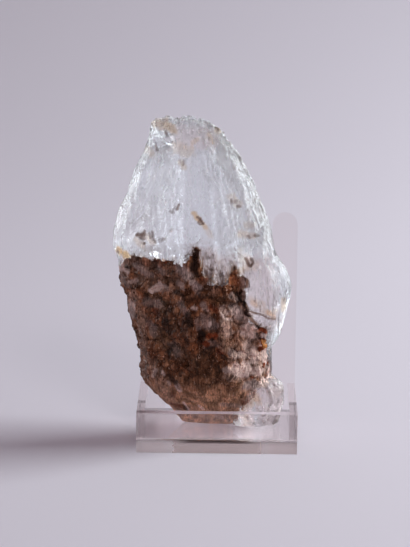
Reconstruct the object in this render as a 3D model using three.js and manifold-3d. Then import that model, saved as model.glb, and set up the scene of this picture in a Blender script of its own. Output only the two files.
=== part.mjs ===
// An etched topaz crystal, clear above and iron-stained below, standing in a clear acrylic stand.
// Millimetres, +Z up, +Y away from the viewer. The origin is the centre of the stand's underside.
import * as THREE from 'three';
import { mergeVertices } from 'three/addons/utils/BufferGeometryUtils.js';
import Module from 'manifold-3d';

const wasm = await Module();
wasm.setup();

// Stand: flat acrylic pieces cemented into a shallow tray with two fingers at the back.
const STAND_WIDTH = 50;
const STAND_DEPTH = 34;
const PLATE_THICKNESS = 4;
const WALL_TOP = 13;
const LIP_THICKNESS = 3;
const SIDE_WALL_THICKNESS = 2.5;
const FINGER_WIDTH = 8;
const FINGER_THICKNESS = 3;
const FINGER_TOP = 69;
const JOINT_GAP = 0.02;

// Crystal: it stands on the plate and leans back towards the fingers.
const REST_GAP = 0.3;
const FOOT = PLATE_THICKNESS + REST_GAP;
const FOOT_DEPTH = 3;
const LEAN = 0.1;
const BODY_LEVELS = 58;

// Left and right edges of the crystal as [height, across], from the foot to the crest.
const LEFT_EDGE = [
  [FOOT, -10.8], [6.7, -13.1], [9.6, -15.7], [12.4, -18.9], [15.3, -22.1], [18.8, -24.3],
  [23, -24.8], [26.9, -24.7], [30.1, -25.7], [34.2, -26.7], [38.4, -28.3], [43.8, -28.8],
  [47.9, -30.9], [53.6, -31.5], [57, -31.9], [59.9, -33.4], [65.6, -33.2], [72.3, -31.3],
  [77.7, -28.8], [84, -27], [89.6, -24.2], [92.8, -22.9], [99, -21.4],
];
const RIGHT_EDGE = [
  [FOOT, 9.5], [9, 13], [14, 15.5], [19, 17], [28, 16.9], [34, 15.2], [50, 14.6], [57, 16.2],
  [59.3, 17.7], [64.9, 16.6], [70.3, 15], [75, 12.7], [80.6, 10.8], [88.4, 6.6], [93.1, 3.4],
  [97.1, -0.1], [99, -2.4],
];
// The crest's skyline as [across, rise above its flat height].
const SKYLINE = [
  [-21.4, 0.2], [-20.5, 1.2], [-16.4, 1.4], [-15.2, 0.3], [-13.3, 0.6], [-11.7, 1.6],
  [-9.5, 1.8], [-7.6, 0.8], [-5.1, 0.2], [-3.6, 0.4], [-2.4, -0.4],
];
// Distance of the front and back ridges from the crystal's middle plane as [height, distance].
const FRONT_DEPTH = [
  [FOOT, 2.5], [8, 7.5], [13, 10.5], [18, 13.5], [25, 17], [35, 19.6], [45, 20.3], [58, 19.3],
  [62, 18], [72, 16], [85, 12], [95, 8], [99, 5],
];
const BACK_DEPTH = [
  [FOOT, 6.5], [15, 9], [30, 11], [45, 11.6], [60, 10.6], [72, 9.4], [85, 7.6], [95, 5], [99, 3.4],
];

// Corners of the crystal's cross-section, anticlockwise from above. Across runs from -1 at the
// left edge to 1 at the right, depth from -1 at the front ridge to 1 at the back ridge. In front
// there is a narrow bevel, a broad face, a sunk flat between two ridges and two faces on the right.
const BODY_SECTION = [
  { across: -1, depth: -0.06, steps: 3 },
  { across: -0.86, depth: -0.4, steps: 10 },
  { across: -0.1, depth: -0.98, steps: 1 },
  { across: -0.05, depth: -0.93, steps: 4 },
  { across: 0.27, depth: -0.9, steps: 1 },
  { across: 0.33, depth: -0.98, steps: 2 },
  { across: 0.44, depth: -0.93, steps: 5 },
  { across: 0.8, depth: -0.56, steps: 4 },
  { across: 1, depth: -0.08, steps: 1 },
  { across: 1, depth: 0.1, steps: 4 },
  { across: 0.66, depth: 0.7, steps: 4 },
  { across: 0.26, depth: 1, steps: 4 },
  { across: -0.06, depth: 0.95, steps: 5 },
  { across: -0.5, depth: 0.6, steps: 4 },
  { across: -0.9, depth: 0.36, steps: 2 },
  { across: -1, depth: 0.08, steps: 1 },
];
const SIDE_SECTION = [
  { across: -1, depth: -0.72, steps: 2 },
  { across: -0.62, depth: -1, steps: 4 },
  { across: 0.22, depth: -0.94, steps: 4 },
  { across: 0.84, depth: -0.52, steps: 2 },
  { across: 1, depth: -0.08, steps: 1 },
  { across: 1, depth: 0.12, steps: 3 },
  { across: 0.5, depth: 0.85, steps: 4 },
  { across: -0.4, depth: 1, steps: 2 },
  { across: -1, depth: 0.7, steps: 1 },
];

// Two clear side crystals grown onto the right of the body.
const SHOULDER = {
  left: [[28, 9], [36, 6.4], [50, 5.6], [60, 7.5], [68, 11]],
  right: [
    [28, 16.4], [31.2, 18.7], [33.2, 19.7], [37.7, 20.9], [41.8, 21.7], [45.7, 22.9],
    [49, 22.9], [53.6, 21.2], [57.4, 18.7], [59.3, 17.7], [64.9, 16.6], [68, 15.4],
  ],
  front: [[28, 6], [32, 11], [45, 14.6], [56, 14], [63, 11], [68, 6]],
  back: [[28, 4], [36, 7], [50, 7.6], [68, 3.5]],
  levels: 24,
};
const TOE = {
  left: [[FOOT, 5], [12, 6], [22, 10]],
  right: [
    [FOOT, 19.4], [7, 20.5], [11.3, 21.3], [14, 21.2], [16.5, 20.6], [18.2, 19.2], [19.4, 17.2],
    [22, 16.4],
  ],
  front: [[FOOT, 5], [8, 8], [12, 9.6], [18, 8.6], [22, 5]],
  back: [[FOOT, 6.5], [12, 8], [18, 6.5], [22, 4]],
  levels: 12,
};
// Blunt broken knobs left standing on the etched crest.
const CREST_KNOBS = [
  { across: -18.2, depth: -3, height: 97.6, radius: 3.6, rise: 2.8, turn: 0 },
  { across: -10.4, depth: -2.4, height: 98, radius: 3.2, rise: 2.4, turn: 1 },
];

// Relief of the faces: the size of each kind's cells across, deep and up, and the bumps' height.
const STRIATIONS = { cell: [2.3, 40, 26], height: 0.4 };
const TERRACES = { cell: [11, 60, 19], height: 0.9, tread: 0.55 };
const CREST_ETCHING = { cell: [2.7, 9, 4], height: 0.6, from: 84, to: 95 };
const WAVES = { cell: [9, 30, 8], height: 0.9 };
const BIG_LUMPS = { cell: 6.4, height: 2.6, shift: 0 };
const SMALL_LUMPS = { cell: 3.4, height: 1.1, shift: 3 };
// Each lump's middle strays from its cell's, its tip's height varies, it is less steep upward than
// across, and its tip is cut off at a share of its height.
const LUMP_SHAPE = { middle: 0.5, stray: 0.35, tip: 0.75, tipSpread: 0.25, upwardSlope: 0.6, cut: 0.8 };
// The stained part lies a little lower than the clear faces. Near the foot its lumps grow flatter.
const STAIN_LEDGE = 2.1;
const STAIN_TOP = 61;
const STAIN_EDGE = 2;
const STAIN_RIGHT = { from: 14, to: 8 };
const FOOT_LUMPS = { share: 0.45, from: 12, to: 26 };
// The relief is drawn at these depths and shifts, so that front and back differ.
const RELIEF_DEPTH = 20;
const LUMP_SHIFT = 31;
const RELIEF_FADE = 3;
const KNOB_DEPTH = 0.85;
const SIDE_RELIEF = 0.6;
const LEAST_DEPTH = 0.2;
const SKYLINE_REACH = 5;
const EDGE_SHARPNESS = 6;
const HASH_TURNS = [127.1, 311.7, 74.7];
const HASH_SCALE = 43758.5453;

const ACRYLIC = new THREE.MeshStandardMaterial({
  color: 0xdfdde4, roughness: 0.05, metalness: 0, transparent: true, opacity: 0.35,
});
const TOPAZ = new THREE.MeshStandardMaterial({
  color: 0xb9bec9, roughness: 0.25, metalness: 0, transparent: true, opacity: 0.7,
});

// Value at a height on a list of [height, value] points, on straight lines between them.
function along(points, height) {
  const next = points.findIndex(([h]) => h >= height);
  if (next === -1) return points[points.length - 1][1];
  if (next === 0) return points[0][1];
  const [h0, v0] = points[next - 1];
  const [h1, v1] = points[next];
  return THREE.MathUtils.mapLinear(height, h0, h1, v0, v1);
}

function middlePlane(height) {
  return FOOT_DEPTH + LEAN * (height - PLATE_THICKNESS);
}

// Repeatable value from -1 to 1 for one cell of a grid.
function cellValue(i, j, k) {
  const mixed = Math.sin(i * HASH_TURNS[0] + j * HASH_TURNS[1] + k * HASH_TURNS[2]) * HASH_SCALE;
  return 2 * (mixed - Math.floor(mixed)) - 1;
}

// Smooth bumps of a kind, up to its height out or in.
function bumps(x, y, z, { cell, height }) {
  const place = [x / cell[0], y / cell[1], z / cell[2]];
  const base = place.map(Math.floor);
  const [u, v, w] = place.map((value, axis) => THREE.MathUtils.smoothstep(value - base[axis], 0, 1));
  let total = 0;
  for (const [di, wi] of [[0, 1 - u], [1, u]]) {
    for (const [dj, wj] of [[0, 1 - v], [1, v]]) {
      for (const [dk, wk] of [[0, 1 - w], [1, w]]) {
        total += wi * wj * wk * cellValue(base[0] + di, base[1] + dj, base[2] + dk);
      }
    }
  }
  return height * total;
}

// Flat-sided lumps of a kind, each a small pyramid with its tip cut off, turned its own way.
function lumps(x, z, { cell, height, shift }) {
  const column = Math.floor((x + shift) / cell);
  const row = Math.floor(z / cell);
  const { middle, stray, tip, tipSpread, upwardSlope, cut } = LUMP_SHAPE;
  let highest = 0;
  for (let i = column - 1; i <= column + 1; i += 1) {
    for (let j = row - 1; j <= row + 1; j += 1) {
      const dx = (x + shift) / cell - (i + middle + stray * cellValue(i, j, 1));
      const dz = z / cell - (j + middle + stray * cellValue(i, j, 2));
      const turn = Math.PI * cellValue(i, j, 3);
      const across = Math.abs(dx * Math.cos(turn) + dz * Math.sin(turn));
      const upward = Math.abs(dz * Math.cos(turn) - dx * Math.sin(turn));
      const peak = tip + tipSpread * cellValue(i, j, 4);
      highest = Math.max(highest, Math.min(peak - across - upwardSlope * upward, cut * peak));
    }
  }
  return height * highest;
}

// How rough the lower, stained part is at a point: 0 on clear faces, 1 where it is stained.
function stain(x, z) {
  const belowLine = THREE.MathUtils.smoothstep(STAIN_TOP - z, 0, STAIN_EDGE);
  const leftOfShoulder = 1 - THREE.MathUtils.smoothstep(x, STAIN_RIGHT.to, STAIN_RIGHT.from);
  return belowLine * leftOfShoulder;
}

// Relief of the etched faces, outwards from the middle plane. The side is -1 in front, 1 behind.
function relief(x, side, z) {
  const y = RELIEF_DEPTH * side;
  const shifted = x + LUMP_SHIFT * side;
  const terraces = Math.round(bumps(x, y, z, TERRACES) / TERRACES.tread) * TERRACES.tread;
  const crest = THREE.MathUtils.smoothstep(z, CREST_ETCHING.from, CREST_ETCHING.to);
  const clear = terraces + crest * bumps(x, y, z, CREST_ETCHING);
  const aboveFoot = THREE.MathUtils.smoothstep(z, FOOT_LUMPS.from, FOOT_LUMPS.to);
  const roughness = THREE.MathUtils.lerp(FOOT_LUMPS.share, 1, aboveFoot);
  const lumpy = lumps(shifted, z, BIG_LUMPS) + lumps(shifted, z, SMALL_LUMPS) + bumps(x, y, z, WAVES);
  const rough = roughness * (lumpy - STAIN_LEDGE);
  return bumps(x, y, z, STRIATIONS) + THREE.MathUtils.lerp(clear, rough, stain(x, z));
}

// Points around a section, with its corners kept and each face cut into its steps.
function sectionPoints(section) {
  return section.flatMap((corner, index) => {
    const next = section[(index + 1) % section.length];
    return Array.from({ length: corner.steps }, (_, step) => ({
      across: THREE.MathUtils.lerp(corner.across, next.across, step / corner.steps),
      depth: THREE.MathUtils.lerp(corner.depth, next.depth, step / corner.steps),
    }));
  });
}

// A closed solid through one ring of points per level, with flat ends.
function loft(rings) {
  const count = rings[0].length;
  const positions = rings.flat();
  const triangles = [];
  rings.slice(1).forEach((_, level) => {
    for (let i = 0; i < count; i += 1) {
      const a = level * count + i;
      const b = level * count + ((i + 1) % count);
      triangles.push(a, b, b + count, a, b + count, a + count);
    }
  });
  const middles = [rings[0], rings[rings.length - 1]].map((ring) => (
    ring[0].map((_, axis) => ring.reduce((sum, point) => sum + point[axis], 0) / count)
  ));
  const footMiddle = positions.length;
  const crestMiddle = footMiddle + 1;
  const lastRing = (rings.length - 1) * count;
  for (let i = 0; i < count; i += 1) {
    const next = (i + 1) % count;
    triangles.push(footMiddle, next, i, crestMiddle, lastRing + i, lastRing + next);
  }
  const geometry = new THREE.BufferGeometry();
  geometry.setAttribute('position', new THREE.Float32BufferAttribute([...positions, ...middles].flat(), 3));
  geometry.setIndex(triangles);
  return geometry;
}

// One crystal of the group: its edges and ridges at every level, with the etched relief on its faces.
function crystalGeometry({ left, right, front, back, levels, skyline }, section, reliefScale) {
  const foot = left[0][0];
  const crest = left[left.length - 1][0];
  const around = sectionPoints(section);
  const rings = Array.from({ length: levels + 1 }, (_, level) => {
    const z = THREE.MathUtils.lerp(foot, crest, level / levels);
    const leftX = along(left, z);
    const rightX = along(right, z);
    const fade = THREE.MathUtils.smoothstep(Math.min(z - foot, crest - z), 0, RELIEF_FADE);
    return around.map(({ across, depth }) => {
      const x = THREE.MathUtils.mapLinear(across, -1, 1, leftX, rightX);
      const reach = depth < 0 ? along(front, z) : along(back, z);
      const inFromEdge = (1 - across ** EDGE_SHARPNESS) * fade * reliefScale;
      const out = reach * Math.abs(depth) + inFromEdge * relief(x, Math.sign(depth), z);
      const nearCrest = THREE.MathUtils.smoothstep(z, crest - SKYLINE_REACH, crest);
      const rise = skyline ? along(skyline, x) * nearCrest : 0;
      return [x, middlePlane(z) + Math.sign(depth) * Math.max(out, LEAST_DEPTH), z + rise];
    });
  });
  return loft(rings);
}

// A blunt knob: a squat lump with flat sides, sunk into the crest.
function knobGeometry({ across, depth, height, radius, rise, turn }) {
  const geometry = new THREE.IcosahedronGeometry(radius, 0);
  geometry.scale(1, KNOB_DEPTH, rise / radius);
  geometry.rotateZ(turn);
  geometry.translate(across, middlePlane(height) + depth, height);
  return geometry;
}

// Joins shapes that overlap into one closed solid.
function fuse(geometries) {
  return geometries.map(toManifold).reduce((whole, piece) => whole.add(piece));
}

function toManifold(geometry) {
  const bare = geometry.clone();
  bare.deleteAttribute('normal');
  bare.deleteAttribute('uv');
  const welded = mergeVertices(bare);
  return new wasm.Manifold(new wasm.Mesh({
    numProp: 3,
    vertProperties: new Float32Array(welded.getAttribute('position').array),
    triVerts: new Uint32Array(welded.index.array),
  }));
}

function toGeometry(manifold) {
  const mesh = manifold.getMesh();
  const geometry = new THREE.BufferGeometry();
  geometry.setAttribute('position', new THREE.BufferAttribute(mesh.vertProperties, 3));
  geometry.setIndex(new THREE.BufferAttribute(mesh.triVerts, 1));
  geometry.computeVertexNormals();
  return geometry;
}

function namedMesh(name, geometry, material) {
  const mesh = new THREE.Mesh(geometry, material);
  mesh.name = name;
  return mesh;
}

function makeCrystal() {
  const body = crystalGeometry({
    left: LEFT_EDGE,
    right: RIGHT_EDGE,
    front: FRONT_DEPTH,
    back: BACK_DEPTH,
    levels: BODY_LEVELS,
    skyline: SKYLINE,
  }, BODY_SECTION, 1);
  const shoulder = crystalGeometry(SHOULDER, SIDE_SECTION, SIDE_RELIEF);
  const toe = crystalGeometry(TOE, SIDE_SECTION, SIDE_RELIEF);
  const knobs = CREST_KNOBS.map(knobGeometry);
  return namedMesh('topaz_crystal', toGeometry(fuse([body, shoulder, toe, ...knobs])), TOPAZ.clone());
}

function makeBox(name, [x0, x1], [y0, y1], [z0, z1]) {
  const box = namedMesh(name, new THREE.BoxGeometry(x1 - x0, y1 - y0, z1 - z0), ACRYLIC.clone());
  box.position.set((x0 + x1) / 2, (y0 + y1) / 2, (z0 + z1) / 2);
  return box;
}

// A flat finger with a fully rounded top, standing on edge behind the tray.
function makeFinger(name, centreX) {
  const half = FINGER_WIDTH / 2;
  const outline = new THREE.Shape();
  outline.moveTo(-half, 0);
  outline.lineTo(half, 0);
  outline.lineTo(half, FINGER_TOP - half);
  outline.absarc(0, FINGER_TOP - half, half, 0, Math.PI, false);
  outline.closePath();
  const geometry = new THREE.ExtrudeGeometry(outline, {
    depth: FINGER_THICKNESS, bevelEnabled: false, curveSegments: 16,
  });
  const finger = namedMesh(name, geometry, ACRYLIC.clone());
  finger.rotation.x = Math.PI / 2;
  finger.position.set(centreX, STAND_DEPTH / 2 + JOINT_GAP + FINGER_THICKNESS, 0);
  return finger;
}

function makeStand() {
  const halfWidth = STAND_WIDTH / 2;
  const halfDepth = STAND_DEPTH / 2;
  const wallFoot = PLATE_THICKNESS + JOINT_GAP;
  const lipBack = -halfDepth + LIP_THICKNESS;
  const wallInside = halfWidth - SIDE_WALL_THICKNESS;
  const fingerCentre = halfWidth - FINGER_WIDTH / 2;
  const wallSpan = [lipBack + JOINT_GAP, halfDepth];
  return [
    makeBox('stand_bottom_plate', [-halfWidth, halfWidth], [-halfDepth, halfDepth], [0, PLATE_THICKNESS]),
    makeBox('stand_front_lip', [-halfWidth, halfWidth], [-halfDepth, lipBack], [wallFoot, WALL_TOP]),
    makeBox('stand_side_wall_left', [-halfWidth, -wallInside], wallSpan, [wallFoot, WALL_TOP]),
    makeBox('stand_side_wall_right', [wallInside, halfWidth], wallSpan, [wallFoot, WALL_TOP]),
    makeFinger('stand_back_finger_left', -fingerCentre),
    makeFinger('stand_back_finger_right', fingerCentre),
  ];
}

const specimen = new THREE.Group();
specimen.add(makeCrystal(), ...makeStand());
export default specimen;
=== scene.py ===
import math

import bpy
import numpy as np
from mathutils import Matrix, Vector, noise


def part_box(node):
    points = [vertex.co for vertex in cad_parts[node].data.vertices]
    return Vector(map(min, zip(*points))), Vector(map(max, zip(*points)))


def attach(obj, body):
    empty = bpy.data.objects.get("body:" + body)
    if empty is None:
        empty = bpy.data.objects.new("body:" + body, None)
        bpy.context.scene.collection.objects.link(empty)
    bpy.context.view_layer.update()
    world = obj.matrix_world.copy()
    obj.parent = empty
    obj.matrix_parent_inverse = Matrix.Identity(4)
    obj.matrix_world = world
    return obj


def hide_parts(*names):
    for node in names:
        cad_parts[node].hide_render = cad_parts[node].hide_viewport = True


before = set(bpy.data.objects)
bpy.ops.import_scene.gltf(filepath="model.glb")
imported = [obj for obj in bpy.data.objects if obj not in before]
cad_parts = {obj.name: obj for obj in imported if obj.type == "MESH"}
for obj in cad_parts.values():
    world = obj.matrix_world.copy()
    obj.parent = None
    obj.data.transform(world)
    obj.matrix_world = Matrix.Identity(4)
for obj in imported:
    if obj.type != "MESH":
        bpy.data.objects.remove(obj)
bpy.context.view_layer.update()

# The camera stands 0.7 m in front of the stand, 14 degrees above level, where the photograph was
# taken from. The picture's long side is upright and the sensor's 36 mm lie along it.
scene = bpy.context.scene
MM = 0.001
CAMERA_TARGET = Vector((-4.3, 3.0, 52.7)) * MM
CAMERA_DISTANCE = 700 * MM
CAMERA_AZIMUTH = math.radians(0.5)
CAMERA_ELEVATION = math.radians(14)
CAMERA_ROLL = math.radians(0.56)
LENS_MM = 146.8
SENSOR_MM = 36
CLIP_START = 50 * MM

camera_data = bpy.data.cameras.new("photo_camera")
camera_data.lens = LENS_MM
camera_data.sensor_width = SENSOR_MM
camera_data.clip_start = CLIP_START
camera = bpy.data.objects.new("photo_camera", camera_data)
scene.collection.objects.link(camera)
level = math.cos(CAMERA_ELEVATION)
towards_camera = Vector((
    math.sin(CAMERA_AZIMUTH) * level,
    -math.cos(CAMERA_AZIMUTH) * level,
    math.sin(CAMERA_ELEVATION),
))
facing = towards_camera.to_track_quat("Z", "Y").to_matrix().to_4x4()
roll = Matrix.Rotation(CAMERA_ROLL, 4, "Z")
camera.matrix_world = Matrix.Translation(CAMERA_TARGET + towards_camera * CAMERA_DISTANCE) @ facing @ roll
scene.camera = camera


# The studio: a pale lavender paper sweep that curves up behind the stand, a soft lamp on the right
# and a little behind, and a faint lamp in front, in an even pale room. Five white panels show only
# as light in the crystal, and a small lamp lays on the paper the light that comes through it.
SWEEP_WIDTH = 5.0
SWEEP_FRONT = -2.0
SWEEP_BACK = 0.3
SWEEP_RADIUS = 1.3
SWEEP_HEIGHT = 1.0
SWEEP_STEPS = 24
UNDER_STAND = -0.1 * MM
PAPER_COLOR = (0.80, 0.735, 0.81, 1)
PAPER_ROUGHNESS = 0.9
PAPER_SPECULAR = 0.1
ROOM_COLOR = (1.0, 0.90, 0.975, 1)
ROOM_STRENGTH = 0.225
ROOM_IN_GLASS = 0.85
LIGHT_BOUNCES = 28
# A lamp is written as its place, the point that it is turned to, its width and height, its watts and
# its colour. The panels share one aim and one colour.
KEY_LAMP = ((0.84, 0.20, 0.56), (0, 0, 0.05), (0.5, 0.5), 10.5, (0.89, 0.99, 1.0))
FRONT_LAMP = ((0.35, -0.75, 0.75), (0, 0, 0.05), (0.25, 0.25), 1.0, (1.0, 0.98, 0.96))
LIGHT_THROUGH = ((-0.002, 0.002, 0.08), (-0.002, 0.002, 0), (0.026, 0.016), 0.0035, (1.0, 0.97, 0.98))
LIGHT_THROUGH_SPREAD = math.radians(10)
PANEL_AIM = (0, 0, 0.06)
PANEL_COLOR = (0.91, 0.97, 1.0)
GLOW_PANELS = {
    "glow_right": ((0.55, 0.65, 0.45), (1.2, 1.2), 9.0),
    "glow_low": ((0.6, 0.55, 0.12), (1.0, 0.4), 4.5),
    "glow_left": ((-0.9, -0.1, 0.4), (0.7, 0.7), 4.0),
    "glow_left_back": ((-0.75, 0.45, 0.15), (0.6, 0.4), 5.0),
    "glow_above": ((0, 0.35, 0.9), (0.9, 0.5), 5.0),
}


def deselect_all():
    if bpy.context.object and bpy.context.object.mode != "OBJECT":
        bpy.ops.object.mode_set(mode="OBJECT")
    bpy.ops.object.select_all(action="DESELECT")


def new_material(name):
    material = bpy.data.materials.new(name)
    material.use_nodes = True
    tree = material.node_tree
    shader = next(n for n in tree.nodes if n.type == "BSDF_PRINCIPLED")
    return material, tree, shader


def add_node(tree, kind, inputs, **settings):
    """A new node; each input is linked where its value is a socket, and set where it isn't."""
    added = tree.nodes.new(kind)
    for name, value in settings.items():
        setattr(added, name, value)
    for name, value in inputs.items():
        if isinstance(value, bpy.types.NodeSocket):
            tree.links.new(value, added.inputs[name])
        else:
            added.inputs[name].default_value = value
    return added


def soft_lamp(name, place, aim, size, power, color):
    lamp = bpy.data.lights.new(name, "AREA")
    lamp.shape = "RECTANGLE"
    lamp.size, lamp.size_y = size
    lamp.energy = power
    lamp.color = color
    holder = bpy.data.objects.new(name, lamp)
    scene.collection.objects.link(holder)
    holder.location = place
    holder.rotation_euler = (Vector(aim) - Vector(place)).to_track_quat("-Z", "Y").to_euler()
    holder.visible_camera = False
    return holder


def hide_from_glass(lamp):
    """The lamp lights things, but doesn't show in or through what is glossy or clear."""
    lamp.visible_glossy = False
    lamp.visible_transmission = False


deselect_all()
bpy.ops.mesh.primitive_plane_add(size=1, location=(0, 0, 0))
sweep = bpy.context.object
sweep.name = "paper_sweep"
for vertex in sweep.data.vertices:
    vertex.co.x *= SWEEP_WIDTH
    vertex.co.y = SWEEP_BACK if vertex.co.y > 0 else SWEEP_FRONT
    vertex.co.z = UNDER_STAND
bpy.ops.object.mode_set(mode="EDIT")
bpy.ops.mesh.select_all(action="DESELECT")
bpy.ops.object.mode_set(mode="OBJECT")
for edge in sweep.data.edges:
    edge.select = all(sweep.data.vertices[i].co.y > 0 for i in edge.vertices)
bpy.ops.object.mode_set(mode="EDIT")
bpy.ops.mesh.select_mode(type="EDGE")
bpy.ops.mesh.spin(
    steps=SWEEP_STEPS, angle=math.radians(-90), center=(0, SWEEP_BACK, SWEEP_RADIUS), axis=(1, 0, 0)
)
bpy.ops.mesh.extrude_region_move(TRANSFORM_OT_translate={"value": (0, 0, SWEEP_HEIGHT)})
bpy.ops.object.mode_set(mode="OBJECT")
bpy.ops.object.shade_smooth()
paper, _, paper_shader = new_material("pale_paper")
paper_shader.inputs["Base Color"].default_value = PAPER_COLOR
paper_shader.inputs["Roughness"].default_value = PAPER_ROUGHNESS
paper_shader.inputs["Specular IOR Level"].default_value = PAPER_SPECULAR
sweep.data.materials.append(paper)

hide_from_glass(soft_lamp("key_lamp", *KEY_LAMP))

# The crystal joins the panels' collection once it is made.
glow_shines_on = bpy.data.collections.new("glow_shines_on")
for name, (place, size, power) in GLOW_PANELS.items():
    panel = soft_lamp(name, place, PANEL_AIM, size, power, PANEL_COLOR)
    panel.visible_diffuse = False
    panel.light_linking.receiver_collection = glow_shines_on

only_paper = bpy.data.collections.new("only_paper")
only_paper.objects.link(sweep)
light_through = soft_lamp("light_through_crystal", *LIGHT_THROUGH)
light_through.data.spread = LIGHT_THROUGH_SPREAD
light_through.light_linking.receiver_collection = only_paper
light_through.light_linking.blocker_collection = only_paper
hide_from_glass(light_through)
hide_from_glass(soft_lamp("front_lamp", *FRONT_LAMP))

world = bpy.data.worlds.new("pale_room")
world.use_nodes = True
ray = add_node(world.node_tree, "ShaderNodeLightPath", {})
room_strength = add_node(world.node_tree, "ShaderNodeMapRange", {
    "Value": ray.outputs["Is Glossy Ray"], "To Min": ROOM_STRENGTH, "To Max": ROOM_IN_GLASS,
})
room_light = next(n for n in world.node_tree.nodes if n.type == "BACKGROUND")
room_light.inputs["Color"].default_value = ROOM_COLOR
world.node_tree.links.new(room_strength.outputs["Result"], room_light.inputs["Strength"])
scene.world = world
scene.view_settings.view_transform = "Standard"
scene.cycles.max_bounces = LIGHT_BOUNCES
scene.cycles.transmission_bounces = LIGHT_BOUNCES


# The stand: four straight pieces and two fingers sawn from clear acrylic sheet, flame-polished and
# cemented together. Each is the CAD piece with its sharp edges broken by the polishing.
LOOSE_TRIANGLE_GAP = 0.005 * MM
FLAT_ANGLE = math.radians(1)
ROUND_ANGLE = math.radians(30)
EDGE_BREAK = 0.18 * MM
EDGE_BREAK_STEPS = 2
EDGE_BREAK_ANGLE = math.radians(40)
THROUGH_SHEET = 0.5
FACING_UP = 0.3
PLATE_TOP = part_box("stand_bottom_plate")[1].z
STAND_NODES = sorted(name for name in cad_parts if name.startswith("stand_"))
FRONT_NODES = ["stand_bottom_plate", "stand_front_lip"]


def noise_of(tree, size, detail=2.0, shift=0.0):
    """Smooth noise from 0 to 1 with features of the given size in mm across, deep and up."""
    here = add_node(tree, "ShaderNodeTexCoord", {})
    fitted = add_node(tree, "ShaderNodeMapping", {
        "Vector": here.outputs["Object"],
        "Location": (shift, shift, shift),
        "Scale": [1 / (length * MM) for length in size],
    })
    pattern = add_node(tree, "ShaderNodeTexNoise", {
        "Vector": fitted.outputs["Vector"], "Scale": 1.0, "Detail": detail,
    })
    return pattern.outputs["Fac"]


def kept(tree, name):
    """A value that the mesh keeps for its faces or points."""
    return add_node(tree, "ShaderNodeAttribute", {}, attribute_name=name).outputs["Fac"]


def between(tree, value, start, end, bottom=0.0, top=1.0):
    """A smooth step from bottom to top while the value goes from start to end."""
    step = add_node(tree, "ShaderNodeMapRange", {
        "Value": value, "From Min": start, "From Max": end, "To Min": bottom, "To Max": top,
    }, interpolation_type="SMOOTHSTEP")
    return step.outputs["Result"]


def patches(tree, size, start, end, bottom=0.0, top=1.0, detail=2.0, shift=0.0):
    """Patches of the given size in mm: noise, as a smooth step from bottom to top."""
    return between(tree, noise_of(tree, size, detail, shift), start, end, bottom, top)


def product(tree, first, *others):
    result = first
    for other in others:
        step = add_node(tree, "ShaderNodeMath", {0: result, 1: other}, operation="MULTIPLY")
        result = step.outputs["Value"]
    return result


def total(tree, first, second):
    return add_node(tree, "ShaderNodeMath", {0: first, 1: second}, operation="ADD").outputs["Value"]


def layered(tree, ground, layers):
    """The ground colour under layers, each a share and a colour, with the last one uppermost."""
    color = ground
    for share, layer in layers:
        blend = add_node(tree, "ShaderNodeMix", {"Factor": share, 6: color, 7: layer}, data_type="RGBA")
        color = blend.outputs[2]
    return color


def place_in_mm(tree, axis):
    """Where a point lies across (X), deep (Y) or up (Z), in mm."""
    here = add_node(tree, "ShaderNodeTexCoord", {})
    apart = add_node(tree, "ShaderNodeSeparateXYZ", {"Vector": here.outputs["Object"]})
    return product(tree, apart.outputs[axis], 1 / MM)


# The acrylic: clear faces, and sawn edges that the flame left a little frosted, lightest where the
# plate's two ends are scuffed. The plate's sawn edges are tinted a dark warm brown, which is painted
# shade: the shadowed paper and the brown crystal seen in them. A dark brown band runs along the
# middle of the joint under the lip, and a painted shadow of the crystal darkens the lip's left end in
# upright streaks. Places are in mm, and heights are from the joint.
LIP_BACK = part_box("stand_front_lip")[1].y / MM
LIP_BACK_FADE = 0.1
JOINT_HEIGHT = PLATE_TOP / MM
DARK_BAND_LEFT, DARK_BAND_RIGHT, DARK_BAND_TAPER = -14.0, 14.0, 6.0
DARK_BAND_TOP, DARK_BAND_TOP_FADE = 0.5, 0.2
DARK_BAND_FOOT, DARK_BAND_FOOT_FADE = -0.8, 0.3
DARK_BAND_BROWN = (0.06, 0.035, 0.03, 1)
# Painted shadow: the crystal's shadow on the lip's left end, in upright streaks.
CRYSTAL_SHADOW_END, CRYSTAL_SHADOW_FADE, CRYSTAL_SHADOW_RISE = -11.5, 2, 1
CRYSTAL_SHADOW_STREAKS = {"size": (0.8, 3, 20), "detail": 3.0, "start": 0.35, "end": 0.65, "bottom": 0.5}
CRYSTAL_SHADOW_TINT = (0.86, 0.81, 0.80, 1)
SCUFFED_LEFT_END, SCUFFED_LEFT_FADE = -11.3, 0.4
SAW_WAVE_SIZE = (1.5, 1.5, 1.0)
SAW_WAVE_REACH = 4.0
SCUFFED_RIGHT_START, SCUFFED_RIGHT_END, SCUFFED_RIGHT_SHARE = 12.5, 15.5, 0.6
SCUFFED_TINT = (1, 1, 1, 1)
SCUFFED_ROUGHNESS = 0.1
SAWN_DULLNESS = {"stand_bottom_plate": 1.0, "stand_front_lip": 0.6}
OTHER_DULLNESS = 0.2
DULLEST = 0.9
FACE_ROUGHNESS, EDGE_ROUGHNESS = 0.03, 0.25
FACE_TINT = (0.95, 0.925, 0.92, 1)
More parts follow.
